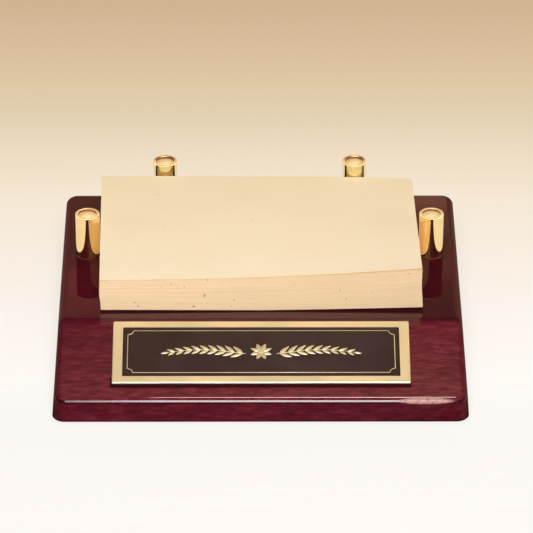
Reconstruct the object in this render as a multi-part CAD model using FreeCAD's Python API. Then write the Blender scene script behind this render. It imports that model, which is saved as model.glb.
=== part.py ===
import FreeCAD, Part
import math
import os

# Desk holder for loose memo sheets: a lacquered wooden block with a flat rear deck and a sloping front,
# four brass posts that fence the sheets on three sides, and a brass plate on the slope.
# Millimetres. +Z is up, the front faces -Y, and the origin is on the desk under the middle of the block.

Vector = FreeCAD.Vector
UP = Vector(0, 0, 1)
ACROSS = Vector(1, 0, 0)

# Wooden block. Its four sides lean in towards the top.
block_width = 194.3
block_depth = 177.9
deck_height = 25.4
side_lean = 4.0
corner_radius = 6.0
edge_radius = 3.6
foot_chamfer = 0.5
slope_angle = 15.0
crease_y = -35.5

# Felt on the underside, let into a pocket and standing a little proud of the wood.
felt_thickness = 1.0
felt_proud = 0.3
felt_inset = 3.0
felt_gap = 0.15
felt_corner_radius = 4.0

# Brass posts, each let a little way into the deck. A round crown rises a step below a flat rim with a sloping lip.
post_radius = 5.85
post_height = 22.25
post_seat = 1.0
post_seat_gap = 0.05
post_foot_break = 0.25
post_rim_radius = 0.3
post_rim_land = 0.6
post_lip_width = 0.55
post_lip_drop = 0.2
post_step = 0.95
post_crown_rise = 1.05
side_post_x = 82.9
side_post_shift = -0.25
side_post_y = 26.3
rear_post_x = 46.55
rear_post_y = 79.9

# M4 x 25 pan-head screws from below, one for each post, with plain washers.
screw_radius = 1.98
screw_length = 25.0
screw_head_radius = 3.9
screw_head_height = 2.8
screw_head_edge = 1.0
drive_slot_length = 4.4
drive_slot_width = 0.9
drive_slot_depth = 1.6
washer_radius = 4.5
washer_bore_radius = 2.15
washer_thickness = 0.8
counterbore_radius = 5.2
counterbore_ceiling = 9.0
clearance_hole_radius = 2.3
post_thread_radius = 2.0
post_thread_depth = 10.0
post_thread_mouth = 0.4

# Plate on the slope, a touch right of the middle of the block.
plate_x = 0.3
plate_width = 139.2
plate_height = 40.3
plate_thickness = 1.0
plate_corner_radius = 0.6
plate_bevel = 0.35
plate_below_crease = 3.3
film_thickness = 0.2
film_inset = 1.5
panel_width = 130.0
panel_height = 32.0
panel_thickness = 0.25
panel_gap = 0.05

# Memo sheets: 6 x 4 inch paper lying against the rear posts.
sheet_width = 152.4
sheet_depth = 101.6
sheet_thickness = 0.15
lower_stack_height = 12.0
upper_stack_height = 5.35
stack_x = 0.35
stack_post_gap = 1.7

block_bottom = felt_proud
slope = math.radians(slope_angle)
side_posts = {"left_post": (side_post_shift - side_post_x, side_post_y),
              "right_post": (side_post_shift + side_post_x, side_post_y)}
rear_posts = {"rear_left_post": (-rear_post_x, rear_post_y), "rear_right_post": (rear_post_x, rear_post_y)}
posts = {**side_posts, **rear_posts}


def rounded_plate(width, depth, thickness, radius):
    """A flat plate centred on the origin with its underside at z = 0 and round corners in plan."""
    plate = Part.makeBox(width, depth, thickness, Vector(-width / 2, -depth / 2, 0))
    uprights = [edge for edge in plate.Edges if abs(edge.tangentAt(edge.FirstParameter).z) > 0.99]
    return plate.makeFillet(radius, uprights)


def leaning_block():
    """The whole block before its slope is cut: a truncated pyramid with round upright corners."""
    height = deck_height - block_bottom
    inset = height * math.tan(math.radians(side_lean))
    half_width = block_width / 2
    half_depth = block_depth / 2
    wedge = Part.makeWedge(-half_width, 0, -half_depth, -half_depth + inset, -half_width + inset,
                           half_width, height, half_depth, half_depth - inset, half_width - inset)
    wedge.rotate(Vector(0, 0, 0), ACROSS, 90)
    wedge.translate(UP * block_bottom)
    uprights = [edge for edge in wedge.Edges if abs(edge.Vertexes[0].Z - edge.Vertexes[1].Z) > height / 2]
    return wedge.makeFillet(corner_radius, uprights)


def slope_cutter():
    """Everything above the slope in front of the crease."""
    reach = block_depth
    drop = reach * math.tan(slope)
    outline = [Vector(-block_width, crease_y, deck_height),
               Vector(-block_width, crease_y - reach, deck_height - drop),
               Vector(-block_width, crease_y - reach, deck_height + reach),
               Vector(-block_width, crease_y, deck_height + reach)]
    face = Part.Face(Part.makePolygon(outline + outline[:1]))
    return face.extrude(ACROSS * (2 * block_width))


def top_faces(block):
    """The deck and the slope, the two flat faces that look upwards."""
    return [face for face in block.Faces
            if face.Surface.TypeId == "Part::GeomPlane" and face.normalAt(0, 0).z > 0.9]


def outer_top_edges(block):
    """The edges round the deck and the slope, without the sharp crease between them."""
    edges = [edge for face in top_faces(block) for edge in face.Edges]
    return [edge for edge in edges if sum(edge.isSame(other) for other in edges) == 1]


def post_hole(x, y):
    """A stepped hole right through the block: counterbore, clearance hole, and the seat for a post."""
    counterbore = Part.makeCylinder(counterbore_radius, counterbore_ceiling, Vector(x, y, 0))
    clearance = Part.makeCylinder(clearance_hole_radius, deck_height * 2, Vector(x, y, 0))
    seat = Part.makeCylinder(post_radius + post_seat_gap, deck_height, Vector(x, y, deck_height - post_seat))
    return counterbore.fuse([clearance, seat])


def make_base_block():
    block = leaning_block().cut(slope_cutter()).removeSplitter()
    block = block.makeFillet(edge_radius, outer_top_edges(block))
    foot = [edge for edge in block.Edges if edge.BoundBox.ZMax < block_bottom + 0.01]
    block = block.makeChamfer(foot_chamfer, foot)
    pocket = rounded_plate(block_width - 2 * felt_inset, block_depth - 2 * felt_inset,
                           felt_thickness, felt_corner_radius)
    block = block.cut(pocket)
    for x, y in posts.values():
        block = block.cut(post_hole(x, y))
    return block


def make_base_felt():
    inset = felt_inset + felt_gap
    return rounded_plate(block_width - 2 * inset, block_depth - 2 * inset, felt_thickness,
                         felt_corner_radius - felt_gap)


def post_profile():
    """Half section of a post, from its axis outwards: foot, side, rim, sloping lip, step and round crown."""
    top = post_height
    rim_centre = Vector(post_radius - post_rim_radius, 0, top - post_rim_radius)
    rim_middle = rim_centre + Vector(math.cos(math.pi / 4), 0, math.sin(math.pi / 4)) * post_rim_radius
    crown_edge = post_radius - post_rim_radius - post_rim_land - post_lip_width
    crown_top = top - post_step + post_crown_rise
    ball_radius = (crown_edge ** 2 + post_crown_rise ** 2) / (2 * post_crown_rise)
    half_angle = math.asin(crown_edge / ball_radius) / 2
    crown_middle = Vector(ball_radius * math.sin(half_angle), 0,
                          crown_top - ball_radius * (1 - math.cos(half_angle)))
    foot = [Vector(0, 0, -post_seat), Vector(post_radius - post_foot_break, 0, -post_seat),
            Vector(post_radius, 0, post_foot_break - post_seat), Vector(post_radius, 0, top - post_rim_radius)]
    rim = [Vector(post_radius - post_rim_radius, 0, top), Vector(crown_edge + post_lip_width, 0, top),
           Vector(crown_edge, 0, top - post_lip_drop), Vector(crown_edge, 0, top - post_step)]
    axis_top = Vector(0, 0, crown_top)
    edges = [Part.LineSegment(a, b).toShape() for a, b in zip(foot, foot[1:])]
    edges.append(Part.Arc(foot[-1], rim_middle, rim[0]).toShape())
    edges += [Part.LineSegment(a, b).toShape() for a, b in zip(rim, rim[1:])]
    edges.append(Part.Arc(rim[-1], crown_middle, axis_top).toShape())
    edges.append(Part.LineSegment(axis_top, foot[0]).toShape())
    return Part.Face(Part.Wire(edges))


def make_post(x, y):
    post = post_profile().revolve(Vector(0, 0, 0), UP, 360)
    thread = Part.makeCylinder(post_thread_radius, post_thread_depth + post_seat)
    point = Part.makeCone(post_thread_radius, 0, post_thread_radius, Vector(0, 0, post_thread_depth + post_seat))
    mouth = Part.makeCone(post_thread_radius + post_thread_mouth, post_thread_radius, post_thread_mouth)
    hole = thread.fuse([point, mouth])
    hole.translate(UP * -post_seat)
    post = post.cut(hole)
    post.translate(Vector(x, y, deck_height))
    return post


def make_screw(x, y):
    """A pan-head screw, head down, hanging from the ceiling of its counterbore under its washer."""
    seat = counterbore_ceiling - washer_thickness
    head = Part.makeCylinder(screw_head_radius, screw_head_height)
    head = head.makeFillet(screw_head_edge, [edge for edge in head.Edges if edge.BoundBox.ZMax < 0.01])
    for length, width in ((drive_slot_length, drive_slot_width), (drive_slot_width, drive_slot_length)):
        head = head.cut(Part.makeBox(length, width, drive_slot_depth, Vector(-length / 2, -width / 2, 0)))
    shank = Part.makeCylinder(screw_radius, screw_length, Vector(0, 0, screw_head_height))
    screw = head.fuse(shank).removeSplitter()
    screw.translate(Vector(x, y, seat - screw_head_height))
    return screw


def make_washer(x, y):
    washer = Part.makeCylinder(washer_radius, washer_thickness)
    washer = washer.cut(Part.makeCylinder(washer_bore_radius, washer_thickness))
    washer.translate(Vector(x, y, counterbore_ceiling - washer_thickness))
    return washer


def lay_on_slope(shape, height):
    """Turn a flat piece onto the slope, its own underside the given height above the wood."""
    down_slope = plate_below_crease + plate_height / 2
    shape.translate(UP * height)
    shape.rotate(Vector(0, 0, 0), ACROSS, slope_angle)
    shape.translate(Vector(plate_x, crease_y - down_slope * math.cos(slope),
                           deck_height - down_slope * math.sin(slope)))
    return shape


def make_plate_film():
    film = rounded_plate(plate_width - 2 * film_inset, plate_height - 2 * film_inset, film_thickness,
                         plate_corner_radius)
    return lay_on_slope(film, 0)


def make_name_plate():
    plate = rounded_plate(plate_width, plate_height, plate_thickness, plate_corner_radius)
    rim = [edge for edge in plate.Edges if edge.BoundBox.ZMin > plate_thickness - 0.01]
    plate = plate.makeChamfer(plate_bevel, rim)
    recess = rounded_plate(panel_width, panel_height, panel_thickness, plate_corner_radius)
    recess.translate(UP * (plate_thickness - panel_thickness))
    return lay_on_slope(plate.cut(recess), film_thickness)


def make_plate_panel():
    panel = rounded_plate(panel_width - 2 * panel_gap, panel_height - 2 * panel_gap, panel_thickness,
                          plate_corner_radius)
    return lay_on_slope(panel, film_thickness + plate_thickness - panel_thickness)


def make_sheets(bottom, height):
    """Square-cut sheets, from a height above the deck, just in front of the rear posts."""
    back = rear_post_y - post_radius - stack_post_gap
    corner = Vector(stack_x - sheet_width / 2, back - sheet_depth, deck_height + bottom)
    return Part.makeBox(sheet_width, sheet_depth, height, corner)


def make_parts():
    top_sheet_bottom = lower_stack_height + upper_stack_height
    parts = {
        "base_block": make_base_block(),
        "base_felt": make_base_felt(),
        "plate_film": make_plate_film(),
        "name_plate": make_name_plate(),
        "plate_panel": make_plate_panel(),
        "memo_sheets_lower": make_sheets(0, lower_stack_height),
        "memo_sheets_upper": make_sheets(lower_stack_height, upper_stack_height),
        "top_sheet": make_sheets(top_sheet_bottom, sheet_thickness),
    }
    for name, (x, y) in posts.items():
        parts[name] = make_post(x, y)
        parts[name + "_screw"] = make_screw(x, y)
        parts[name + "_washer"] = make_washer(x, y)
    return parts


os.makedirs("parts", exist_ok=True)
for node, shape in make_parts().items():
    shape.exportStep("parts/" + node + ".step")
    box = shape.BoundBox
    print(node, "valid", shape.isValid(), "solids", len(shape.Solids), "volume", round(shape.Volume, 2),
          "z", round(box.ZMin, 3), round(box.ZMax, 3))
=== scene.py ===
import math
import random

import bpy
from mathutils import Matrix, Vector, noise


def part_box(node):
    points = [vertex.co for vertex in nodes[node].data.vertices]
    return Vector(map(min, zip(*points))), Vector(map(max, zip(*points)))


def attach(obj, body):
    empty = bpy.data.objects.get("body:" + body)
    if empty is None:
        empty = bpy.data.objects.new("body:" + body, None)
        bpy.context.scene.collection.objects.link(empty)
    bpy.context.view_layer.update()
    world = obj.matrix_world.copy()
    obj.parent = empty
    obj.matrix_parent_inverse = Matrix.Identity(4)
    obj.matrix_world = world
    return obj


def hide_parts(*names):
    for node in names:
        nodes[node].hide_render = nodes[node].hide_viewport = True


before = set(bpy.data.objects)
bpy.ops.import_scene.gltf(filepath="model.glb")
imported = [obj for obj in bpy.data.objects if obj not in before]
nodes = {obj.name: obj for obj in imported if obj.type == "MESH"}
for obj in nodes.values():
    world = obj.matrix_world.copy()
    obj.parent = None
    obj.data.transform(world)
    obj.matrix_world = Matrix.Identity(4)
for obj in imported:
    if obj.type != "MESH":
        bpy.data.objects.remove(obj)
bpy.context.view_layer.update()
scene = bpy.context.scene
mm = 0.001
print("frame loaded:", len(nodes), "CAD nodes")

# camera and lights
cameraView = {
    "lens": 308.5,              # mm
    "sensor": 36, "reach": 20,
    "place": (-0.0063, -1.9005, 1.1123),
    "tiltDown": 29.59,          # degrees below the horizon
    "turnRight": 0.281,
    "roll": 0.086,
}
softBoxes = {                   # place, width and height in metres, power in watts, colour
    "keyBox": ((0.0, -0.99, 1.14), (0.75, 0.66), 24.6, (1.0, 0.985, 0.955)),
    "topBox": ((0.05, 0.40, 1.24), (0.25, 0.20), 3.2, (1.0, 0.78, 0.72)),
    "leftFill": ((-1.25, 0.0, 0.14), (1.0, 0.24), 9.6, (1.0, 0.93, 0.84)),
    "rightFill": ((1.25, 0.0, 0.14), (1.0, 0.24), 14.0, (1.0, 0.93, 0.84)),
}
lightAim = Vector((0.0, 0.0, 0.02))
surround = {"seen": (0.80, 0.72, 0.60), "mirrored": (0.020, 0.016, 0.013)}


def placeCamera():
    data = bpy.data.cameras.new("camera")
    data.lens = cameraView["lens"]
    data.sensor_width = cameraView["sensor"]
    data.clip_end = cameraView["reach"]
    camera = bpy.data.objects.new("camera", data)
    turn = Matrix.Rotation(-math.radians(cameraView["turnRight"]), 4, "Z")
    tilt = Matrix.Rotation(math.radians(90 - cameraView["tiltDown"]), 4, "X")
    roll = Matrix.Rotation(math.radians(cameraView["roll"]), 4, "Z")
    camera.matrix_world = Matrix.Translation(cameraView["place"]) @ turn @ tilt @ roll
    scene.collection.objects.link(camera)
    scene.camera = camera


def placeLight(name, place, size, power, color):
    data = bpy.data.lights.new(name, "AREA")
    data.shape = "RECTANGLE"
    data.size, data.size_y = size
    data.energy = power
    data.color = color
    light = bpy.data.objects.new(name, data)
    light.location = place
    light.rotation_euler = (lightAim - Vector(place)).to_track_quat("-Z", "Y").to_euler()
    light.visible_camera = False
    scene.collection.objects.link(light)


placeCamera()
for name, settings in softBoxes.items():
    placeLight(name, *settings)
scene.view_settings.view_transform = "Standard"
print("camera and lights placed")

# short ways to build node trees and meshes


def wire(value, socket):
    # links the output of a node, or sets a plain value
    if isinstance(value, bpy.types.NodeSocket):
        value.id_data.links.new(value, socket)
    else:
        socket.default_value = (*value, 1) if socket.type == "RGBA" and len(value) == 3 else value


def treeOf(*values):
    return next(value.id_data for value in values if isinstance(value, bpy.types.NodeSocket))


def addNode(tree, kind, inputs=None, **settings):
    made = tree.nodes.new("ShaderNode" + kind)
    for key, value in settings.items():
        setattr(made, key, value)
    for key, value in (inputs or {}).items():
        wire(value, made.inputs[key])
    return made


def addMath(operation, first, second=0.0, clamp=False):
    made = addNode(treeOf(first, second), "Math", {0: first, 1: second}, operation=operation, use_clamp=clamp)
    return made.outputs[0]


def addRamp(factor, stops):
    made = addNode(factor.id_data, "ValToRGB", {"Fac": factor})
    elements = made.color_ramp.elements
    while len(elements) < len(stops):
        elements.new(0.5)
    for element, (place, color) in zip(elements, stops):
        element.position = place
        element.color = (*color, 1)
    return made.outputs["Color"]


def addRange(value, fromLow, fromHigh, toLow, toHigh):
    made = addNode(value.id_data, "MapRange", {0: value, 1: fromLow, 2: fromHigh, 3: toLow, 4: toHigh})
    return made.outputs[0]


def addMask(value, span):
    # 0 at the first end of the span and 1 at the second
    return addRange(value, *span, 0.0, 1.0)


def product(first, *others):
    for other in others:
        first = addMath("MULTIPLY", first, other)
    return first


def largest(first, *others):
    for other in others:
        first = addMath("MAXIMUM", first, other)
    return first


def addBlend(factor, first, second):
    return addNode(factor.id_data, "Mix", {0: factor, 2: first, 3: second}).outputs[0]


def addMix(factor, first, second, blend="MIX"):
    inputs = {0: factor, 6: first, 7: second}
    made = addNode(treeOf(factor, first, second), "Mix", inputs, data_type="RGBA", blend_type=blend)
    return made.outputs[2]


def tinted(mask, color, tint, blend="MULTIPLY"):
    return addMix(mask, color, addMix(1.0, color, tint, blend))


def addVector(operation, first, second):
    return addNode(first.id_data, "VectorMath", {0: first, 1: second}, operation=operation).outputs[0]


def addScaled(vector, scale):
    return addNode(vector.id_data, "VectorMath", {0: vector, "Scale": scale}, operation="SCALE").outputs[0]


def addLength(vector):
    return addNode(vector.id_data, "VectorMath", {0: vector}, operation="LENGTH").outputs["Value"]


def addNoise(place, scale, detail, **more):
    inputs = {"Vector": place, "Scale": scale, "Detail": detail, **more}
    return addNode(place.id_data, "TexNoise", inputs).outputs["Fac"]


def addBump(socket, height, strength, distance):
    made = addNode(height.id_data, "Bump", {"Height": height, "Strength": strength, "Distance": distance})
    wire(made.outputs[0], socket)


def splitAxes(vector):
    return addNode(vector.id_data, "SeparateXYZ", {0: vector}).outputs


def newGroup(name, settings, results):
    # every shared group takes a place and some plain settings
    group = bpy.data.node_groups.new(name, "ShaderNodeTree")
    group.interface.new_socket(name="Place", in_out="INPUT", socket_type="NodeSocketVector")
    for label, value in settings.items():
        made = group.interface.new_socket(name=label, in_out="INPUT", socket_type="NodeSocketFloat")
        made.default_value = value
    for label in results:
        group.interface.new_socket(name=label, in_out="OUTPUT", socket_type="NodeSocketFloat")
    return group, group.nodes.new("NodeGroupInput").outputs, group.nodes.new("NodeGroupOutput").inputs


def placeGroup(group, *values):
    return addNode(values[0].id_data, "Group", dict(enumerate(values)), node_tree=group).outputs


def newMaterial(name, sockets):
    material = bpy.data.materials.new(name)
    material.use_nodes = True
    shader = material.node_tree.nodes["Principled BSDF"].inputs
    for key, value in sockets.items():
        wire(value, shader[key])
    return material, shader, addNode(material.node_tree, "TexCoord").outputs["Object"]


def objectFacing(place):
    return splitAxes(place.node.outputs["Normal"])


def lightRays(place, kind):
    return addNode(place.id_data, "LightPath").outputs[kind]


def newPiece(name, verts, faces, materials, body=None, smooth=True):
    mesh = bpy.data.meshes.new(name)
    mesh.from_pydata(verts, [], faces)
    mesh.update()
    for material in materials:
        mesh.materials.append(material)
    if smooth:
        mesh.polygons.foreach_set("use_smooth", [True] * len(mesh.polygons))
    piece = bpy.data.objects.new(name, mesh)
    scene.collection.objects.link(piece)
    if body:
        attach(piece, body)
    return piece


# effects that several materials share
effects = {
    "bendScale": 14.0, "bendDetail": 2.0, "fibreDetail": 5.0, "fibreRoughness": 0.62, "fibreSpan": (0.3, 0.7),
    "smearDetail": 4.0, "smearDistortion": 0.6, "smearSpan": (0.35, 0.7),
    "hairStretch": (40.0, 900.0, 500.0), "hairDetail": 2.0, "hairSpan": (0.66, 0.72),
    "speckSpan": (0.30, 0.12),
}


def buildStreaks():
    # long thin fibres or brush lines along X, as a tone and a height
    group, given, out = newGroup(
        "fibreStreaks", {"Along": 20.0, "Across": 600.0, "Bend": 0.0}, ("Tone", "Height"))
    wander = addNode(group, "TexNoise", {
        "Vector": given["Place"], "Scale": effects["bendScale"], "Detail": effects["bendDetail"]})
    shift = addVector("SUBTRACT", wander.outputs["Color"], (0.5, 0.5, 0.5))
    place = addVector("ADD", given["Place"], addScaled(shift, given["Bend"]))
    stretch = addNode(group, "CombineXYZ", {0: given["Along"], 1: given["Across"], 2: given["Across"]})
    laid = addVector("MULTIPLY", place, stretch.outputs[0])
    fibres = addNoise(laid, 1.0, effects["fibreDetail"], Roughness=effects["fibreRoughness"])
    wire(fibres, out["Tone"])
    wire(addMask(fibres, effects["fibreSpan"]), out["Height"])
    return group


def buildHandling():
    # the faint smears and hairlines that polished faces pick up
    group, given, out = newGroup(
        "handlingMarks", {"Size": 60.0, "Low": 0.02, "High": 0.06}, ("Roughness", "Height"))
    smear = addNoise(given["Place"], given["Size"], effects["smearDetail"],
                     Distortion=effects["smearDistortion"])
    roughness = addRange(smear, *effects["smearSpan"], given["Low"], given["High"])
    wire(roughness, out["Roughness"])
    squeezed = addVector("MULTIPLY", given["Place"], effects["hairStretch"])
    hair = addNoise(squeezed, 1.0, effects["hairDetail"])
    wire(addMask(hair, effects["hairSpan"]), out["Height"])
    return group


def buildSpecks():
    # sparse small marks: nicks and bits in paper, flecks in enamel, lint in felt
    group, given, out = newGroup("sparseSpecks", {"Size": 300.0, "Amount": 0.1}, ("Mask",))
    cells = addNode(group, "TexVoronoi", {"Vector": given["Place"], "Scale": given["Size"]})
    chosen = addNode(group, "SeparateColor", {0: cells.outputs["Color"]})
    rare = addMath("LESS_THAN", chosen.outputs[0], given["Amount"])
    spot = addMask(cells.outputs["Distance"], effects["speckSpan"])
    wire(addMath("MULTIPLY", spot, rare, True), out["Mask"])
    return group


streaks, handling, specks = buildStreaks(), buildHandling(), buildSpecks()


def addStreaks(place, along, across, bend=0.0):
    return placeGroup(streaks, place, along, across, bend)


def addHandling(place, size, low, high):
    return placeGroup(handling, place, size, low, high)


def addSpecks(place, size, amount):
    return placeGroup(specks, place, size, amount)["Mask"]


print("shared node groups built")

# floor, and the dark card behind that the lacquer mirrors
floor = {
    "half": 3.2, "drop": 0.0001, "glow": 0.76, "shade": 0.20, "roughness": 0.85, "specular": 0.1,
    "mirroredFront": 0.04, "besideFrom": (0.10, 0.14), "behindFrom": (-0.085, -0.060),
}
floorTones = [          # distance along Y in metres, and colour
    (-0.40, (0.957, 0.930, 0.915)), (-0.10, (0.960, 0.940, 0.915)), (-0.05, (0.998, 0.977, 0.942)),
    (0.026, (0.983, 0.926, 0.858)), (0.127, (0.938, 0.838, 0.697)), (0.181, (0.873, 0.738, 0.565)),
    (0.225, (0.780, 0.655, 0.460)), (0.283, (0.735, 0.563, 0.375)), (0.36, (0.650, 0.480, 0.305)),
    (1.40, (0.640, 0.460, 0.290))]
card = {
    "y": 1.25, "halfWidth": 2.2, "foot": 0.001, "top": 3.2, "blend": 0.10, "secondBounce": 0.12,
    "roughness": 0.9, "base": (0.01, 0.01, 0.01),
}
cardLeft = [            # height in metres, and colour
    (0.00, (0.640, 0.460, 0.290)), (0.45, (0.640, 0.440, 0.260)), (0.634, (0.520, 0.360, 0.180)),
    (0.655, (0.280, 0.230, 0.090)), (0.665, (0.220, 0.180, 0.070)), (0.722, (0.200, 0.170, 0.070)),
    (0.732, (0.620, 0.200, 0.140)), (0.765, (0.600, 0.190, 0.130)), (0.780, (0.150, 0.080, 0.045)),
    (1.20, (0.020, 0.012, 0.010)), (2.28, (0.020, 0.020, 0.020)), (2.43, (0.140, 0.150, 0.080))]
cardRight = [
    (0.00, (0.640, 0.460, 0.290)), (0.45, (0.640, 0.440, 0.260)), (0.634, (1.150, 0.660, 0.330)),
    (0.662, (1.200, 0.550, 0.320)), (0.670, (0.980, 0.420, 0.250)), (0.682, (0.720, 0.340, 0.190)),
    (0.697, (0.380, 0.230, 0.110)), (0.715, (0.220, 0.170, 0.068)), (0.726, (0.560, 0.190, 0.135)),
    (0.738, (0.540, 0.185, 0.130)), (0.752, (0.100, 0.085, 0.030)), (1.20, (0.020, 0.012, 0.010)),
    (2.28, (0.050, 0.040, 0.030)), (2.43, (0.340, 0.290, 0.150))]


def toneAlong(value, tones):
    low, high = tones[0][0], tones[-1][0]
    along = addRange(value, low, high, 0.0, 1.0)
    return addRamp(along, [((place - low) / (high - low), tone) for place, tone in tones])


def buildFloor():
    half, z = floor["half"], -floor["drop"]
    material, shader, place = newMaterial("paleFloor", {
        "Roughness": floor["roughness"], "Specular IOR Level": floor["specular"]})
    axes = splitAxes(place)
    color = toneAlong(axes["Y"], floorTones)
    wire(color, shader["Emission Color"])
    # in mirror finishes the floor in front of the block shows dark, and bright to both sides
    beside = addMask(addMath("ABSOLUTE", axes["X"]), floor["besideFrom"])
    bright = largest(beside, addMask(axes["Y"], floor["behindFrom"]))
    mirrored = addRange(bright, 0.0, 1.0, floor["mirroredFront"], 1.0)
    seen = largest(addMath("SUBTRACT", 1.0, lightRays(place, "Is Glossy Ray")), mirrored)
    wire(product(seen, floor["glow"]), shader["Emission Strength"])
    shade = product(seen, floor["shade"])
    wire(addMix(shade, (0.0, 0.0, 0.0), color), shader["Base Color"])
    corners = [(-half, -half, z), (half, -half, z), (half, half, z), (-half, half, z)]
    newPiece("studioFloor", corners, [(0, 1, 2, 3)], [material])


def buildCard():
    y, half, low, top = card["y"], card["halfWidth"], card["foot"], card["top"]
    material, shader, place = newMaterial("rearCard", {
        "Roughness": card["roughness"], "Base Color": card["base"], "Emission Strength": 1.0})
    axes = splitAxes(place)
    right = addMask(axes["X"], (-card["blend"], card["blend"]))
    color = addMix(right, toneAlong(axes["Z"], cardLeft), toneAlong(axes["Z"], cardRight))
    wire(color, shader["Emission Color"])
    # what the posts mirror is dim once more in the lacquer
    strength = addRange(lightRays(place, "Ray Depth"), 1.0, 2.0, 1.0, card["secondBounce"])
    wire(strength, shader["Emission Strength"])
    piece = newPiece("studioCard", [(-half, y, low), (half, y, low), (half, y, top), (-half, y, top)],
                     [(0, 1, 2, 3)], [material])
    piece.visible_camera = False
    piece.visible_shadow = False


def buildWorld():
    world = bpy.data.worlds.new("studioSurround")
    world.use_nodes = True
    tree = world.node_tree
    toCamera = addNode(tree, "LightPath").outputs["Is Camera Ray"]
    color = addMix(toCamera, surround["mirrored"], surround["seen"])
    wire(color, tree.nodes["Background"].inputs["Color"])
    scene.world = world


buildFloor()
buildCard()
buildWorld()
print("floor and card built")

# lacquered block

lacquer = {
    "dark": (0.022, 0.0010, 0.0030), "mid": (0.102, 0.0114, 0.0195), "light": (0.195, 0.0310, 0.0440),
    "stops": (0.34, 0.50, 0.64),
    # the figure: along, across and bend of each kind of fibre, then mottle and cloud, and the share of each
    "fibre": (120.0, 1300.0, 0.004), "band": (8.0, 120.0, 0.008), "pore": (230.0, 2400.0, 0.004),
    "mottleStretch": (150.0, 480.0, 480.0), "mottleDetail": 4.0, "mottleRoughness": 0.6,
    "cloud": (34.0, 2.0), "shares": (0.30, 0.10, 0.44, 0.16), "poreSpan": (0.58, 0.68), "poreDepth": 0.45,
    "slopeCalm": 0.72, "deckCalm": 0.38, "grainRelief": (0.12, 0.0002),
    # where each zone begins and ends, as places in metres or as parts of the surface normal
    "deckFrom": (0.0240, 0.0252), "creaseFrom": (-0.0362, -0.0350), "wallFrom": (-0.0850, 0.0200),
    "wallFacing": (0.985, 0.998), "frontFacing": (-0.80, -0.98), "foot": (0.0015, 0.0004),
    "filletFrom": (0.10, 0.52), "filletTo": (0.75, 0.70), "filletFacing": (-0.30, -0.50),
    "edgeFrom": (0.03, 0.14), "slopeEdge": (0.15, 0.95), "deckEdge": (0.75, 0.98),
    # how light the colour is from left to right, and the painted shade, shadow and reflection of each zone
    "toneHalf": 0.085, "sideTone": (1.10, 1.13), "deckShadeAcross": (0.50, 0.38), "frontTone": (1.22, 1.05),
    "deckShadeTint": (1.0, 0.34, 0.80), "edgePaintedReflection": (0.013, 0.011, 0.006),
    "frontPaintedShade": (0.78, 0.52, 0.66), "filletPaintedShade": (0.36, 0.22, 0.30), "edgePaintedShade": (0.20, 0.08, 0.10),
    "footPaintedShadow": (0.12, 0.04, 0.06),
    # the painted shadow line below the plate
    "lineLift": 0.0004, "lineFrom": 0.0030, "lineTo": 0.0019, "lineEnd": 0.0040,
    "lineReach": (0.0706, 0.0698), "shadowLineDepth": 0.96,
    # the lacquer run near the right front corner, and its painted highlight
    "runCentre": (0.0765, -0.0868, 0.0108), "runSize": (0.0140, 0.0200, 0.0014), "runEdge": (1.0, 0.70),
    "runPaintedHighlight": (0.400, 0.225, 0.200), "runPaintedFleck": (0.270, 0.125, 0.115), "fleck": (700.0, 3.0),
    "fleckSpan": (0.50, 0.68), "runMetal": 0.55, "runRoughness": 0.58,
    # the finish, and where the coat lies thin
    "coatRoughness": 0.016, "coatIor": 1.5, "specular": 0.02, "sheen": 0.20, "smear": (30.0, 0.46, 0.58),
    "ripple": (26.0, 1.0), "rippleRelief": (0.16, 0.001), "edgeCoat": 0.06, "sideEnd": (0.9997, 0.9985),
    "rightEnd": (0.0800, 0.0830), "rightFacing": (-0.30, -0.45), "leftEnd": (-0.090, -0.045),
    "leftThin": 0.66, "leftFacing": (-0.35, -0.50), "creaseSpan": (0.0226, 0.0240), "creaseThin": 0.75,
}


def woodFigure(place, calm):
    # the stained figure, and the height of its fibres
    fine, broad, pores = [addStreaks(place, *lacquer[kind]) for kind in ("fibre", "band", "pore")]
    drawn = addVector("MULTIPLY", place, lacquer["mottleStretch"])
    mottle = addNoise(drawn, 1.0, lacquer["mottleDetail"], Roughness=lacquer["mottleRoughness"])
    cloud = addNoise(place, *lacquer["cloud"])
    tone = 0.0
    for value, share in zip((fine["Tone"], broad["Tone"], mottle, cloud), lacquer["shares"]):
        tone = addMath("ADD", tone, product(value, share))
    tone = addMath("ADD", 0.5, product(addMath("SUBTRACT", tone, 0.5), calm))
    colors = (lacquer["dark"], lacquer["mid"], lacquer["light"])
    color = addRamp(tone, list(zip(lacquer["stops"], colors)))
    dash = addRange(pores["Tone"], *lacquer["poreSpan"], 0.0, lacquer["poreDepth"])
    return addMix(product(dash, calm), color, lacquer["dark"]), fine["Height"]


def plateShadowLine(axes):
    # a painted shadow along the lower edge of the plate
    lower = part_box("name_plate")[0].y + lacquer["lineLift"]
    along = addMask(axes["Y"], (lower - lacquer["lineFrom"], lower - lacquer["lineTo"]))
    below = addMath("LESS_THAN", axes["Y"], lower + lacquer["lineEnd"])
    reach = addMask(addMath("ABSOLUTE", axes["X"]), lacquer["lineReach"])
    return product(along, below, reach, lacquer["shadowLineDepth"])


def runWithPaintedHighlight(place):
    # one thick run of lacquer near the right front corner, as a mask and a colour; its rough, half metallic
    # finish spreads the lamp's highlight, and its pale pink colour is a painted highlight
    offset = addVector("SUBTRACT", place, lacquer["runCentre"])
    reach = addLength(addVector("DIVIDE", offset, lacquer["runSize"]))
    fleck = addMask(addNoise(place, *lacquer["fleck"]), lacquer["fleckSpan"])
    highlightColor = addMix(fleck, lacquer["runPaintedHighlight"], lacquer["runPaintedFleck"])
    return addMask(reach, lacquer["runEdge"]), highlightColor


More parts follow.
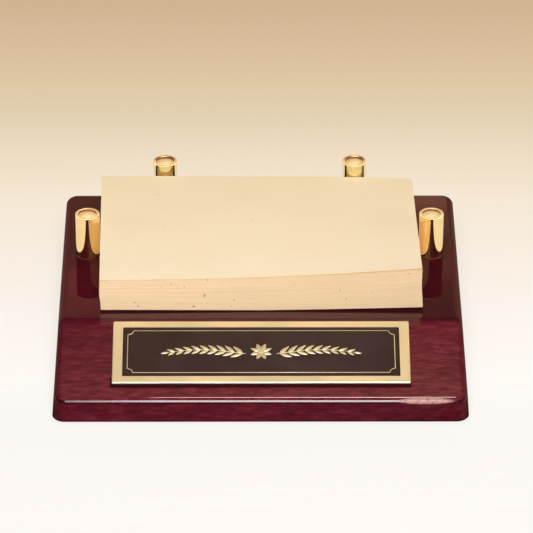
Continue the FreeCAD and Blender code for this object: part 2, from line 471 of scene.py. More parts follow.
def thinCoat(axes, facing, outward, onDeck):
    # the rounded side edges, both ends of the front edge and the strip below the crease
    side = product(addMask(outward, lacquer["edgeFrom"]), addMask(outward, lacquer["sideEnd"]))
    rightEnd = product(addMask(axes["X"], lacquer["rightEnd"]),
                       addMask(facing["Y"], lacquer["rightFacing"]))
    leftEnd = product(addRange(axes["X"], *lacquer["leftEnd"], lacquer["leftThin"], 0.0),
                      addMask(facing["Y"], lacquer["leftFacing"]))
    crease = product(addRange(axes["Z"], *lacquer["creaseSpan"], 0.0, lacquer["creaseThin"]),
                     addMath("SUBTRACT", 1.0, onDeck))
    return largest(side, rightEnd, leftEnd, crease)


def lacqueredWood():
    material, shader, place = newMaterial("lacqueredWood", {
        "Coat Roughness": lacquer["coatRoughness"], "Coat IOR": lacquer["coatIor"],
        "Specular IOR Level": lacquer["specular"]})
    axes, facing = splitAxes(place), objectFacing(place)
    outward = addMath("ABSOLUTE", facing["X"])
    # the deck's tone begins sharply at the crease, and slowly along the upright sides
    behindCrease = addBlend(addMask(outward, lacquer["wallFacing"]),
                            addMask(axes["Y"], lacquer["creaseFrom"]),
                            addMask(axes["Y"], lacquer["wallFrom"]))
    onDeck = largest(addMask(axes["Z"], lacquer["deckFrom"]), behindCrease)
    # the front face; further down it is painted darker than the slope, as painted shade
    onFront = addMask(facing["Y"], lacquer["frontFacing"])
    # the figure is calmer on the deck
    calm = addRange(onDeck, 0.0, 1.0, lacquer["slopeCalm"], lacquer["deckCalm"])
    color, fibreHeight = woodFigure(place, calm)
    # the colour grows lighter or darker from left to right; the deck and the upright sides behind the crease
    # are painted darker and redder than the slope, as painted shade
    half = lacquer["toneHalf"]
    across = addRange(axes["X"], -half, half, *lacquer["sideTone"])
    deckAcross = addRange(axes["X"], -half, half, *lacquer["deckShadeAcross"])
    frontAcross = addRange(axes["X"], 0.0, half, *lacquer["frontTone"])
    scale = addBlend(onFront, addBlend(onDeck, across, deckAcross), frontAcross)
    color = tinted(onDeck, addScaled(color, scale), lacquer["deckShadeTint"])
    # painted reflection: the side edge fillets behind the crease get a faint added glow where the thin coat
    # mirrors little
    edge = product(addMask(outward, lacquer["edgeFrom"]), behindCrease)
    color = tinted(edge, color, lacquer["edgePaintedReflection"], "ADD")
    # painted shade: the slope darkens all the way round its side edges, the deck only at the very edge
    turning = addBlend(behindCrease, addMask(outward, lacquer["slopeEdge"]),
                       addMask(outward, lacquer["deckEdge"]))
    # painted shade: the front edge is painted dark just below its highlight
    fillet = product(addMask(facing["Z"], lacquer["filletFrom"]),
                     addMask(facing["Z"], lacquer["filletTo"]),
                     addMask(facing["Y"], lacquer["filletFacing"]))
    # painted contact shadow: the lowest millimetre and a half of the block is painted near black
    foot = addMask(axes["Z"], lacquer["foot"])
    for mask, shade in ((onFront, "frontPaintedShade"), (fillet, "filletPaintedShade"), (turning, "edgePaintedShade"),
                        (foot, "footPaintedShadow")):
        color = tinted(mask, color, lacquer[shade])
    line = plateShadowLine(axes)
    run, highlightColor = runWithPaintedHighlight(place)
    color = addMix(line, color, lacquer["dark"])
    wire(addMix(run, color, highlightColor), shader["Base Color"])
    sheen = addRange(onDeck, 0.0, 1.0, lacquer["sheen"], 0.0)
    wire(addBlend(run, sheen, lacquer["runMetal"]), shader["Metallic"])
    marks = addHandling(place, *lacquer["smear"])
    roughness = addBlend(run, marks["Roughness"], lacquer["runRoughness"])
    wire(roughness, shader["Roughness"])
    thin = largest(thinCoat(axes, facing, outward, onDeck), run, line)
    wire(addRange(thin, 0.0, 1.0, 1.0, lacquer["edgeCoat"]), shader["Coat Weight"])
    addBump(shader["Normal"], fibreHeight, *lacquer["grainRelief"])
    addBump(shader["Coat Normal"], addNoise(place, *lacquer["ripple"]), *lacquer["rippleRelief"])
    return material


def dress(nodeName, material):
    piece = nodes[nodeName]
    piece.data.materials.clear()
    piece.data.materials.append(material)


dress("base_block", lacqueredWood())
print("block lacquered")

# posts, screws and washers

brass = {
    "deep": (0.900, 0.620, 0.250), "cloud": (160.0, 3.0), "cloudSpan": (0.3, 0.8), "cloudDepth": 0.35,
    "smear": (90.0, 0.018, 0.040), "mirrored": 0.45,
    "crownRadius": 0.00432, "crownSoft": 0.0001, "crownHeight": 0.0466, "crownShadeSpan": (-0.0020, 0.0030),
    "crownFront": (1.000, 0.780, 0.410), "crownRear": (0.760, 0.490, 0.235), "crownRoughness": 0.46,
    "crownMetal": 0.25,
    "rimFrom": (0.0472, 0.0474), "rearSpan": (-0.001, 0.003), "rimFront": (0.990, 0.720, 0.330),
    "rimRear": (0.900, 0.620, 0.300), "rimRoughness": 0.34, "rimMetal": 0.25,
    "grooveShade": (0.410, 0.138, 0.032), "grooveWidth": 0.00014, "grooveDrop": 0.0002,
    "postFootShade": (0.380, 0.170, 0.075), "foot": (0.0260, 0.0258), "footRoughness": 0.45,
    "ringPitch": 0.00022, "ringDepth": 0.5, "hairDepth": 0.12, "relief": (0.25, 0.00002),
}


def polishedBrass(name, centre, tone, rearMetal):
    # mirror polish on the side, and a satin rim and crown turned on a lathe
    material, shader, place = newMaterial(name, {})
    marks = addHandling(place, *brass["smear"])
    fromAxis = addVector("SUBTRACT", place, centre)
    radius = addLength(addVector("MULTIPLY", fromAxis, (1.0, 1.0, 0.0)))
    height, depth = splitAxes(place)["Z"], splitAxes(fromAxis)["Y"]
    edge, step = brass["crownRadius"], brass["crownHeight"]
    crown = product(addMask(radius, (edge + brass["crownSoft"], edge)),
                    addMath("GREATER_THAN", height, step))
    rim = addMask(height, brass["rimFrom"])
    top = largest(rim, crown)
    groove = product(addMath("GREATER_THAN", edge + brass["grooveWidth"], radius),
                     addMath("GREATER_THAN", height, step - brass["grooveDrop"]),
                     addMath("SUBTRACT", 1.0, crown))
    foot = addMask(height, brass["foot"])
    roughness = addBlend(top, marks["Roughness"], brass["rimRoughness"])
    roughness = addBlend(crown, roughness, brass["crownRoughness"])
    wire(addBlend(foot, roughness, brass["footRoughness"]), shader["Roughness"])
    # the far side of the rim keeps its polish
    rearward = addMask(depth, brass["rearSpan"])
    metal = addBlend(top, 1.0, addRange(rearward, 0.0, 1.0, brass["rimMetal"], rearMetal))
    wire(addBlend(crown, metal, brass["crownMetal"]), shader["Metallic"])
    cloud = addNoise(place, *brass["cloud"])
    cloud = addRange(cloud, *brass["cloudSpan"], 0.0, brass["cloudDepth"])
    color = addMix(cloud, tone, brass["deep"])
    # painted shade: the far side of the rim is painted darker than the near side
    color = addMix(rim, color, addMix(rearward, brass["rimFront"], brass["rimRear"]))
    # painted shade: the crown is painted browner and darker towards the back
    crownShade = addMask(depth, brass["crownShadeSpan"])
    color = addMix(crown, color, addMix(crownShade, brass["crownFront"], brass["crownRear"]))
    # painted shade: the narrow groove round the crown is painted dark brown
    color = addMix(groove, color, brass["grooveShade"])
    # painted shade: a brown band where the post stands on the deck
    color = addMix(foot, color, brass["postFootShade"])
    # the lacquer shows the brass dimmer than it is
    dim = addRange(lightRays(place, "Is Glossy Ray"), 0.0, 1.0, 1.0, brass["mirrored"])
    wire(addScaled(color, dim), shader["Base Color"])
    rings = addMath("SINE", product(radius, 2 * math.pi / brass["ringPitch"]))
    relief = addMath("ADD", product(rings, crown, brass["ringDepth"]),
                     product(marks["Height"], brass["hairDepth"]))
    addBump(shader["Normal"], relief, *brass["relief"])
    return material


steel = {
    "color": (0.60, 0.60, 0.58), "tint": (0.52, 0.54, 0.46), "smear": (220.0, 0.24, 0.42),
    "bloom": (400.0, 3.0), "relief": (0.2, 0.00003),
}


def platedSteel():
    material, shader, place = newMaterial("platedSteel", {"Metallic": 1.0})
    marks = addHandling(place, *steel["smear"])
    wire(marks["Roughness"], shader["Roughness"])
    bloom = addNoise(place, *steel["bloom"])
    wire(addMix(bloom, steel["color"], steel["tint"]), shader["Base Color"])
    addBump(shader["Normal"], marks["Height"], *steel["relief"])
    return material


steelFinish = platedSteel()
posts = {                       # colour of the polished side, and how metallic the far side of the rim is
    "left_post": ((0.960, 0.740, 0.370), 0.35), "right_post": ((0.960, 0.740, 0.370), 0.35),
    # painted light: the rear posts get a paler copy of the side posts' brass
    "rear_left_post": ((0.920, 0.840, 0.520), 1.0), "rear_right_post": ((0.920, 0.840, 0.520), 1.0)}
for postName, (tone, rearMetal) in posts.items():
    low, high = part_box(postName)
    dress(postName, polishedBrass(postName + "Brass", tuple((low + high) / 2), tone, rearMetal))
    dress(postName + "_screw", steelFinish)
    dress(postName + "_washer", steelFinish)
print("posts polished")

# plate, panel and the ornament laid on it

plate = {
    "color": (0.665, 0.560, 0.320), "shade": (0.600, 0.485, 0.262), "metal": 0.60, "brush": (18.0, 4200.0),
    "smear": (45.0, 0.42, 0.55), "hairDepth": 0.3, "relief": (0.30, 0.00006),
    "bevelHighlight": (0.98, 0.90, 0.72), "bevelRoughness": 0.36, "bevelFacing": (-0.6, -0.8),
    "bevelRise": (0.25, 0.4), "slope": 15.0,
}
panel = {
    "color": (0.018, 0.0064, 0.0038), "lift": (0.029, 0.0112, 0.0070), "specular": 0.15, "thickness": 0.25,
    "cloud": (55.0, 4.0), "fleck": (1500.0, 0.10), "fleckDepth": 0.25, "smear": (70.0, 0.33, 0.46),
    "peel": (1800.0, 1.0), "relief": (0.08, 0.0001),
}
film = {"color": (0.55, 0.47, 0.36), "shade": (0.40, 0.34, 0.26), "roughness": 0.5, "foam": (2500.0, 2.0)}
ornament = {                    # mm and degrees; a branch runs from 0 at its root to 1 at its tip
    "ruleInset": 2.3, "ruleWidth": 0.36, "ruleCorner": 2.6, "ruleSteps": 8, "height": 0.10, "sunk": 0.04,
    "petals": 8, "petalRoot": 0.9, "petalLength": 4.4, "petalWidth": 2.3,
    "buttonRadius": 1.35, "buttonHeight": 0.22, "buttonSides": 24, "buttonRings": 5,
    "branchStart": 7.2, "branchEnd": 44.0, "branchSag": 2.6, "stemWidth": 0.42, "stemTaper": 0.6,
    "stemSteps": 28,
    "leafPairs": 9, "leafLength": 6.4, "leafWidth": 2.1, "leafTurn": 27.0, "rootSpread": 8.0,
    "firstLeaf": 0.04, "leafSpan": 0.86, "leafShrink": 0.38, "tipScale": 0.62,
}


def brushedBrass():
    material, shader, place = newMaterial("brushedBrass", {"Metallic": plate["metal"]})
    facing = objectFacing(place)
    brush = addStreaks(place, *plate["brush"])
    marks = addHandling(place, *plate["smear"])
    # the bevel along the lower edge is cut smoother, and its pale colour is a painted highlight
    bevel = product(addMask(facing["Y"], plate["bevelFacing"]), addMask(facing["Z"], plate["bevelRise"]))
    roughness = addBlend(bevel, marks["Roughness"], plate["bevelRoughness"])
    wire(roughness, shader["Roughness"])
    color = addMix(brush["Tone"], plate["color"], plate["shade"])
    wire(addMix(bevel, color, plate["bevelHighlight"]), shader["Base Color"])
    height = addMath("ADD", brush["Height"], product(marks["Height"], plate["hairDepth"]))
    addBump(shader["Normal"], height, *plate["relief"])
    return material


def panelEnamel():
    material, shader, place = newMaterial("panelEnamel", {"Specular IOR Level": panel["specular"]})
    color = addMix(addNoise(place, *panel["cloud"]), panel["color"], panel["lift"])
    fleck = product(addSpecks(place, *panel["fleck"]), panel["fleckDepth"])
    wire(addMix(fleck, color, panel["lift"]), shader["Base Color"])
    marks = addHandling(place, *panel["smear"])
    wire(marks["Roughness"], shader["Roughness"])
    addBump(shader["Normal"], addNoise(place, *panel["peel"]), *panel["relief"])
    return material


def clearFilm():
    material, shader, place = newMaterial("clearFilm", {"Roughness": film["roughness"]})
    foam = addNoise(place, *film["foam"])
    wire(addMix(foam, film["color"], film["shade"]), shader["Base Color"])
    return material


brushFinish = brushedBrass()
dress("name_plate", brushFinish)
dress("plate_panel", panelEnamel())
dress("plate_film", clearFilm())

panelLow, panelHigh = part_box("plate_panel")
slopeTurn = Matrix.Rotation(math.radians(plate["slope"]), 4, "X")
panelTop = (panelLow + panelHigh) / 2 + slopeTurn @ Vector((0, 0, panel["thickness"] * mm / 2))
panelMatrix = Matrix.Translation(panelTop) @ slopeTurn
panelHalfWidth = (panelHigh.x - panelLow.x) / 2 / mm
panelHalfHeight = (panelHigh.y - panelLow.y) / 2 / math.cos(math.radians(plate["slope"])) / mm


def skin(rings, closed=False, turn=1):
    # joins rings of points into one surface, back to the first ring or with a cap at each end
    rows, count, faces = len(rings[0]), len(rings), []
    for index in range(count if closed else count - 1):
        here, there = index * rows, (index + 1) % count * rows
        faces += [(here + k, here + (k + 1) % rows, there + (k + 1) % rows, there + k) for k in range(rows)]
    if not closed:
        faces += [tuple(range(rows))[::turn], tuple(range((count - 1) * rows, count * rows))[::-turn]]
    return [point for ring in rings for point in ring], faces


def cornerPath(halfX, halfY, radius, corners, sweep, steps):
    # an arc at each corner of a rectangle, each from its own start angle
    path = []
    for sideX, sideY, start in corners:
        for step in range(steps + 1):
            angle = math.radians(start + sweep * step / steps)
            path.append((sideX * halfX + radius * math.cos(angle), sideY * halfY + radius * math.sin(angle)))
    return path


def ribbon(points, width, closed):
    # a low half-round strip along the points: two feet, two shoulders and a ridge
    count, rings = len(points), []
    section = [(-0.5, -ornament["sunk"]), (-0.5, 0.4 * ornament["height"]), (0.0, ornament["height"]),
               (0.5, 0.4 * ornament["height"]), (0.5, -ornament["sunk"])]
    for index, point in enumerate(points):
        before = points[(index - 1) % count] if closed or index else point
        after = points[(index + 1) % count] if closed or index < count - 1 else point
        run = Vector((after[0] - before[0], after[1] - before[1])).normalized()
        size = width(index / (count - 1)) if callable(width) else width
        rings.append([(point[0] - run.y * side * size, point[1] + run.x * side * size, z)
                      for side, z in section])
    return skin(rings, closed)


def leaf(root, angle, length, width, steps=9):
    # a pointed leaf with a raised midrib
    rings, foot = [], -ornament["sunk"]
    along = Vector((math.cos(angle), math.sin(angle)))
    beside = Vector((-along.y, along.x))
    for step in range(steps + 1):
        t = step / steps
        half = max(0.5 * width * math.sin(math.pi * t) ** 0.75 * (1.15 - 0.45 * t), 0.02)
        spine = Vector(root) + along * (length * t)
        rise = ornament["height"] * (0.5 + 0.5 * math.sin(math.pi * t))
        left, right = spine + beside * half, spine - beside * half
        low = 0.3 * rise
        rings.append([(*left, foot), (*left, low), (*spine, rise), (*right, low), (*right, foot)])
    return skin(rings)


def layOnPanel(name, parts):
    verts, faces = [], []
    for partVerts, partFaces in parts:
        start = len(verts)
        verts += [tuple(panelMatrix @ (Vector(point) * mm)) for point in partVerts]
        faces += [tuple(start + index for index in face) for face in partFaces]
    return newPiece(name, verts, faces, [brushFinish], "holder")


def buildRule():
    halfWidth = panelHalfWidth - ornament["ruleInset"]
    halfHeight = panelHalfHeight - ornament["ruleInset"]
    corners = ((1, 1, 270), (-1, 1, 0), (-1, -1, 90), (1, -1, 180))
    path = cornerPath(halfWidth, halfHeight, ornament["ruleCorner"], corners, -90, ornament["ruleSteps"])
    return layOnPanel("panelRule", [ribbon(path, ornament["ruleWidth"], True)])


def buildRosette():
    parts = []
    for index in range(ornament["petals"]):
        angle = 2 * math.pi * (index + 0.5) / ornament["petals"]
        root = (ornament["petalRoot"] * math.cos(angle), ornament["petalRoot"] * math.sin(angle))
        parts.append(leaf(root, angle, ornament["petalLength"], ornament["petalWidth"]))
    sides, rings, button = ornament["buttonSides"], ornament["buttonRings"], []
    for ring in range(rings):
        bend = 0.5 * math.pi * ring / rings
        radius, z = ornament["buttonRadius"] * math.cos(bend), ornament["buttonHeight"] * math.sin(bend)
        angles = [2 * math.pi * k / sides for k in range(sides)]
        button.append([(radius * math.cos(angle), radius * math.sin(angle), z) for angle in angles])
    verts, faces = skin(button, turn=-1)
    # a fan closes the top in place of the flat cap
    faces.pop()
    tip, last = len(verts), len(verts) - sides
    verts.append((0, 0, ornament["buttonHeight"]))
    faces += [(last + k, last + (k + 1) % sides, tip) for k in range(sides)]
    parts.append((verts, faces))
    return layOnPanel("panelRosette", parts)


def buildBranch(name, side):
    start, end, steps = ornament["branchStart"], ornament["branchEnd"], ornament["stemSteps"]

    def stemPoint(t):
        sag = math.sin(math.pi * t * 0.9) - 0.55
        return (side * (start + (end - start) * t), ornament["branchSag"] * sag)

    parts = [ribbon([stemPoint(step / steps) for step in range(steps + 1)],
                    lambda t: ornament["stemWidth"] * (1.0 - ornament["stemTaper"] * t), False)]
    for pair in range(ornament["leafPairs"]):
        t = ornament["firstLeaf"] + ornament["leafSpan"] * pair / (ornament["leafPairs"] - 1)
        root, ahead = stemPoint(t), stemPoint(t + 0.02)
        heading = math.atan2(ahead[1] - root[1], ahead[0] - root[0])
        scale = 1.0 - ornament["leafShrink"] * t
        opening = math.radians(ornament["leafTurn"] + ornament["rootSpread"] * (1 - t))
        for turn in (-opening, opening):
            parts.append(leaf(root, heading + turn, ornament["leafLength"] * scale,
                              ornament["leafWidth"] * scale))
    tip, before = stemPoint(0.98), stemPoint(0.94)
    parts.append(leaf(tip, math.atan2(tip[1] - before[1], tip[0] - before[0]),
                      ornament["leafLength"] * ornament["tipScale"],
                      ornament["leafWidth"] * ornament["tipScale"]))
    return layOnPanel(name, parts)


for piece in (buildRule(), buildRosette(), buildBranch("laurelRight", 1), buildBranch("laurelLeft", -1)):
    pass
print("plate and ornament built")

# memo sheets

stack = {
    "width": 152.4, "depth": 101.6, "layer": 0.165,         # mm; one layer is a few sheets
    "deck": 25.4, "layers": 88, "lowerLayers": 60,
    "bottomCentre": (0.30, 21.45), "topCentre": (-0.55, 22.10), "bottomTurn": 0.40, "topTurn": 0.95,
    "grooveInset": 0.55, "wander": 0.030, "settle": 0.72, "stray": 0.12, "strayEvery": 11, "strayBack": 0.2,
    "twist": 0.015, "topGap": 0.0004, "uvStep": 0.004, "seed": 4, "across": 38, "deep": 25,
}
lean = {                        # heights in mm; each bend is the power of the curve
    "front": 17.25, "frontRise": 4.7, "frontFlat": 0.7, "back": 18.05, "backFall": 2.3, "backBend": 1.2,
    "cornerFall": 0.8, "cornerBend": 12, "depthBend": 0.8, "lift": 0.55, "liftLeft": 0.60, "liftRight": 1.25,
    "liftBend": 1.3, "shiftEnd": 0.6, "turnBend": 1.3,
}
loose = {                       # the top sheet, in mm and degrees
    "across": 60, "deep": 40, "thickness": 0.11, "gap": 0.03, "slide": (-0.04, -0.10), "turn": -0.06,
    "curl": 0.30, "curlBend": 6, "wave": 0.04, "waves": (2.1, 1.4, 0.3), "sharp": 30,
}
paper = {
    "face": (0.850, 0.715, 0.500), "faceWarm": (0.830, 0.685, 0.462), "cloud": (30.0, 5.0),
    "cloudRoughness": 0.6, "cloudSpan": (0.3, 0.7), "rearTint": (0.945, 0.965, 0.935),
    "frontTint": (0.985, 1.025, 1.095), "tintSpan": (0.075, -0.030), "bits": (260.0, 0.012), "bitDepth": 0.35,
    "roughness": 0.62, "specular": 0.25, "tooth": (2600.0, 3.0), "toothRelief": (0.15, 0.00005),
    "edge": (0.925, 0.735, 0.485), "edgeDark": (0.640, 0.420, 0.235), "lines": (12.0, 9.0),
    "lineSpan": (0.42, 0.72), "lineDepth": 0.80, "lineRelief": (0.35, 0.00008),
    "edgeNick": (0.330, 0.190, 0.110), "nicks": (380.0, 0.022), "chips": (640.0, 0.020), "markDepth": 0.85,
    "edgeGold": (0.900, 0.550, 0.160), "goldRows": 2, "goldLow": 0.4, "goldSpan": (-0.05, 0.04),
    "goldLeft": 0.2, "edgeRoughness": 0.75, "edgeSpecular": 0.15,
    "glowInMirror": 0.42, "thrownReach": (0.0030, 0.0080), "thrownFacing": (0.8, 0.95),
}


def frontHeight(u):
    flat = lean["frontFlat"]
    return lean["front"] + lean["frontRise"] * max((u + flat) / (1 + flat), 0.0) ** 2


def backHeight(u):
    s = (u + 1) / 2
    fall = lean["backFall"] * s ** lean["backBend"] + lean["cornerFall"] * s ** lean["cornerBend"]
    return lean["back"] - fall


def frontLift(u):
    return lean["lift"] + (lean["liftLeft"] * -u if u < 0 else lean["liftRight"] * u ** lean["liftBend"])


def sheetPoint(u, v, level, slide=(0.0, 0.0), turn=0.0):
    # u runs left to right, v front to back, level from the lowest sheet to the top one
    back = (v + 1) / 2
    top = frontHeight(u) + (backHeight(u) - frontHeight(u)) * back ** lean["depthBend"]
    lift = frontLift(u) * (1 - back) ** 2
    part = min(level / lean["shiftEnd"], 1.0)
    ease = part * part * (3 - 2 * part)
    swing = stack["topTurn"] - stack["bottomTurn"]
    angle = math.radians(stack["bottomTurn"] + swing * level ** lean["turnBend"]) + turn
    centre = [a + (b - a) * ease for a, b in zip(stack["bottomCentre"], stack["topCentre"])]
    x, y = u * stack["width"] / 2, v * stack["depth"] / 2
    return Vector((centre[0] + slide[0] + x * math.cos(angle) - y * math.sin(angle),
                   centre[1] + slide[1] + x * math.sin(angle) + y * math.cos(angle),
                   stack["deck"] + lift + (top - lift) * level)) * mm


def sheetFace():
    material, shader, place = newMaterial("sheetFace", {
        "Roughness": paper["roughness"], "Specular IOR Level": paper["specular"]})
    cloud = addNoise(place, *paper["cloud"], Roughness=paper["cloudRoughness"])
    color = addMix(addMask(cloud, paper["cloudSpan"]), paper["face"], paper["faceWarm"])
    # painted light: the face is painted a little warmer and darker towards the back
    forward = addMask(splitAxes(place)["Y"], paper["tintSpan"])
    tint = addMix(forward, paper["rearTint"], paper["frontTint"])
    color = addMix(1.0, color, tint, "MULTIPLY")
    bits = product(addSpecks(place, *paper["bits"]), paper["bitDepth"])
    wire(addMix(bits, color, paper["edgeDark"]), shader["Base Color"])
    addBump(shader["Normal"], addNoise(place, *paper["tooth"]), *paper["toothRelief"])
    return material


def sheetEdges():
    material, shader, place = newMaterial("sheetEdges", {
        "Roughness": paper["edgeRoughness"], "Specular IOR Level": paper["edgeSpecular"]})
    axes, facing = splitAxes(place), objectFacing(place)
    edgeRun = addNode(place.id_data, "UVMap", uv_map="edgeRun").outputs["UV"]
    lines = addStreaks(edgeRun, *paper["lines"])
    tone = addRange(lines["Tone"], *paper["lineSpan"], 0.0, paper["lineDepth"])
    color = addMix(tone, paper["edge"], paper["edgeDark"])
    # painted shade: the topmost edges, more to the right, are painted gold for the warm shade under the top
    # sheet
    row, firstShadedRow = splitAxes(edgeRun)["Y"], stack["layers"] - paper["goldRows"]
    warmShade = product(addRange(row, firstShadedRow, stack["layers"] - 1, paper["goldLow"], 1.0),
                  addMath("GREATER_THAN", row, firstShadedRow),
                  addRange(axes["X"], *paper["goldSpan"], paper["goldLeft"], 1.0))
    color = addMix(warmShade, color, paper["edgeGold"])
    marks = largest(addSpecks(place, *paper["nicks"]), addSpecks(place, *paper["chips"]))
    marks = product(marks, paper["markDepth"])
    wire(addMix(marks, color, paper["edgeNick"]), shader["Base Color"])
    # painted light: the edges beside the posts glow, in mirror rays only, in place of the light the posts
    # throw back on them, which shows in the brass
    postLow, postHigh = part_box("right_post")
    away = addMath("ABSOLUTE", addMath("SUBTRACT", axes["Y"], (postLow.y + postHigh.y) / 2))
    glowInMirror = product(addMask(addMath("ABSOLUTE", facing["X"]), paper["thrownFacing"]),
                     addRange(away, *paper["thrownReach"], paper["glowInMirror"], 0.0),
                     lightRays(place, "Is Glossy Ray"))
    wire(color, shader["Emission Color"])
    wire(glowInMirror, shader["Emission Strength"])
    addBump(shader["Normal"], lines["Height"], *paper["lineRelief"])
    return material


sheetFinishes = [sheetFace(), sheetEdges()]


def layerSlides():
    # how far each layer has slipped; neighbours lie nearly alike, and now and then one strays
    draw = random.Random(stack["seed"])
    slides, x, y = [], 0.0, 0.0
    for index in range(stack["layers"]):
        x = stack["settle"] * x + draw.gauss(0, stack["wander"])
        y = stack["settle"] * y + draw.gauss(0, stack["wander"])
        stray = stack["stray"] if index % stack["strayEvery"] == stack["strayEvery"] - 1 else 0.0
        slides.append((x + stray * draw.uniform(-1, 1), y + stray * draw.uniform(-1, stack["strayBack"]),
                       math.radians(draw.gauss(0, stack["twist"]))))
    return slides


def rimCells(across, deep):
    return ([(i, 0) for i in range(across)] + [(across, j) for j in range(deep)]
            + [(i, deep) for i in range(across, 0, -1)] + [(0, j) for j in range(deep, 0, -1)])


def rimOf(start, across, deep):
    return [start + j * (across + 1) + i for i, j in rimCells(across, deep)]


def gridQuads(start, across, deep):
    corners = [start + j * (across + 1) + i for j in range(deep) for i in range(across)]
    return [(corner, corner + 1, corner + across + 2, corner + across + 1) for corner in corners]


def buildStack(name, first, last, slides, body):
    across, deep = stack["across"], stack["deep"]
    rim = rimCells(across, deep)
    verts, faces, kinds, runs = [], [], [], []

    def uv(i, j, inset=0.0):
        u, v = 2 * i / across - 1, 2 * j / deep - 1
        return (u * (1 - 2 * inset / stack["width"]), v * (1 - 2 * inset / stack["depth"]))

    def addSheetGrid(level, slide):
        start = len(verts)
        verts.extend(tuple(sheetPoint(*uv(i, j), level, slide[:2], slide[2]))
                     for j in range(deep + 1) for i in range(across + 1))
        return start

    def addRing(level, rise, slide, inset=0.0):
        start = len(verts)
        for i, j in rim:
            point = sheetPoint(*uv(i, j, inset), level, slide[:2], slide[2])
            point.z += rise
            verts.append(tuple(point))
        return list(range(start, start + len(rim)))

    def addBand(lower, upper, row):
        for k in range(len(rim)):
            after = (k + 1) % len(rim)
            faces.append((lower[k], lower[after], upper[after], upper[k]))
            kinds.append(1)
            runs.append((k, row))

    def addCap(start, upwards):
        for quad in gridQuads(start, across, deep):
            faces.append(quad if upwards else quad[::-1])
            kinds.append(0)
            runs.append((0, 0))

    bottom = addSheetGrid(first / stack["layers"], slides[first])
    addCap(bottom, False)
    lower = rimOf(bottom, across, deep)
    for layer in range(first, last):
        slide = slides[layer]
        if layer == last - 1:
            top = addSheetGrid((layer + 1) / stack["layers"] - stack["topGap"], slide)
            addBand(lower, rimOf(top, across, deep), layer)
            addCap(top, True)
            break
        upper = addRing(layer / stack["layers"], stack["layer"] * mm, slide)
        addBand(lower, upper, layer)
        hiddenLow = addRing(layer / stack["layers"], stack["layer"] * mm, slide, stack["grooveInset"])
        hiddenHigh = addRing((layer + 1) / stack["layers"], 0.0, slides[layer + 1], stack["grooveInset"])
        lower = addRing((layer + 1) / stack["layers"], 0.0, slides[layer + 1])
        for one, other in ((upper, hiddenLow), (hiddenLow, hiddenHigh), (hiddenHigh, lower)):
            addBand(one, other, layer)
    piece = newPiece(name, verts, faces, sheetFinishes, body, smooth=False)
    piece.data.polygons.foreach_set("material_index", kinds)
    edgeRun = piece.data.uv_layers.new(name="edgeRun")
    for polygon, (k, row) in zip(piece.data.polygons, runs):
        for corner, loop in enumerate(polygon.loop_indices):
            edgeRun.data[loop].uv = ((k + (corner in (1, 2))) * stack["uvStep"], row + (corner > 1))
    return piece


def buildTopSheet(name, body):
    across, deep = loose["across"], loose["deep"]
    waveX, waveY, waveZ = loose["waves"]
    verts, faces, kinds = [], [], []
    for rise in (loose["gap"], loose["gap"] + loose["thickness"]):
        for j in range(deep + 1):
            for i in range(across + 1):
                u, v = 2 * i / across - 1, 2 * j / deep - 1
                point = sheetPoint(u, v, 1.0, loose["slide"], math.radians(loose["turn"]))
                curl = loose["curl"] * max((u - v) / 2, 0.0) ** loose["curlBend"]
                wave = loose["wave"] * (1 + noise.noise(Vector((waveX * u, waveY * v, waveZ))))
                verts.append((point.x, point.y, point.z + (rise + curl + wave) * mm))
    half = (across + 1) * (deep + 1)
    for quad in gridQuads(0, across, deep):
        faces += [quad[::-1], tuple(half + index for index in quad)]
        kinds += [0, 0]
    rim = rimOf(0, across, deep)
    for k, here in enumerate(rim):
        there = rim[(k + 1) % len(rim)]
        faces.append((here, there, there + half, here + half))
        kinds.append(1)
    piece = newPiece(name, verts, faces, sheetFinishes, body)
    piece.data.polygons.foreach_set("material_index", kinds)
    piece.data.set_sharp_from_angle(angle=math.radians(loose["sharp"]))
    edgeRun = piece.data.uv_layers.new(name="edgeRun")
    for loop in edgeRun.data:
        loop.uv = (0.0, stack["layers"] + 0.5)
    return piece


slides = layerSlides()
lowerStack = buildStack("memoSheetsLower", 0, stack["lowerLayers"], slides, "memo_stack")
upperStack = buildStack("memoSheetsUpper", stack["lowerLayers"], stack["layers"], slides, "memo_stack")
topSheet = buildTopSheet("memoSheetTop", "loose_sheet")
for piece, node in ((lowerStack, "memo_sheets_lower"), (upperStack, "memo_sheets_upper"),
                    (topSheet, "top_sheet")):
    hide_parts(node)
print("memo sheets laid")

# felt underneath

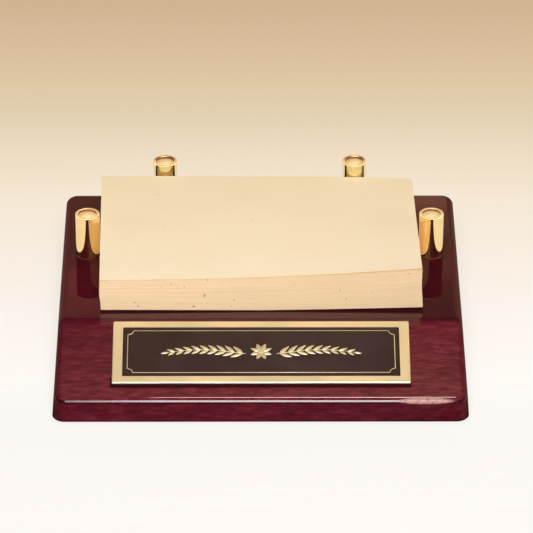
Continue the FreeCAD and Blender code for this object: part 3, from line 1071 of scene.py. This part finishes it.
felt = {
    "color": (0.012, 0.035, 0.020), "pale": (0.030, 0.070, 0.042), "lintColor": (0.14, 0.18, 0.15),
    "fibre": (900.0, 6.0), "fibreRoughness": 0.7, "tangle": 1.2, "lint": (500.0, 0.05), "lintDepth": 0.5,
    "roughness": 0.95, "specular": 0.1, "sheen": 0.5, "relief": (0.7, 0.0004),
    "corner": 3.85, "cornerSteps": 8, "edge": 0.30, "ripple": 0.05, "rippleScale": 900, "step": 0.002,
}


def feltCloth():
    material, shader, place = newMaterial("feltCloth", {
        "Roughness": felt["roughness"], "Specular IOR Level": felt["specular"],
        "Sheen Weight": felt["sheen"], "Sheen Roughness": felt["sheen"]})
    fibres = addNoise(place, *felt["fibre"], Roughness=felt["fibreRoughness"], Distortion=felt["tangle"])
    color = addMix(fibres, felt["color"], felt["pale"])
    lint = product(addSpecks(place, *felt["lint"]), felt["lintDepth"])
    wire(addMix(lint, color, felt["lintColor"]), shader["Base Color"])
    addBump(shader["Normal"], fibres, *felt["relief"])
    return material


def buildFelt():
    low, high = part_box("base_felt")
    halfWidth, halfDepth = (high.x - low.x) / 2, (high.y - low.y) / 2
    radius, edge = felt["corner"] * mm, felt["edge"] * mm
    corners = ((1, -1, 270), (1, 1, 0), (-1, 1, 90), (-1, -1, 180))
    outline = cornerPath(halfWidth - radius, halfDepth - radius, radius, corners, 90, felt["cornerSteps"])
    dense = []
    for index, here in enumerate(outline):
        there = outline[(index + 1) % len(outline)]
        count = max(int((Vector(there) - Vector(here)).length / felt["step"]), 1)
        dense += [tuple(Vector(here).lerp(Vector(there), k / count)) for k in range(count)]
    rings = []
    for inset, z in ((edge, low.z), (0.0, low.z + edge), (0.0, high.z - edge), (edge, high.z)):
        rings.append([])
        for x, y in dense:
            place = Vector((felt["rippleScale"] * x, felt["rippleScale"] * y, 3))
            ragged = felt["ripple"] * mm * noise.noise(place)
            shrink = 1 - (inset + abs(ragged)) / max(halfWidth, halfDepth)
            rings[-1].append((x * shrink, y * shrink, z))
    piece = newPiece("feltSheet", *skin(rings, turn=-1), [feltCloth()], "holder")
    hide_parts("base_felt")


buildFelt()
print("felt laid")
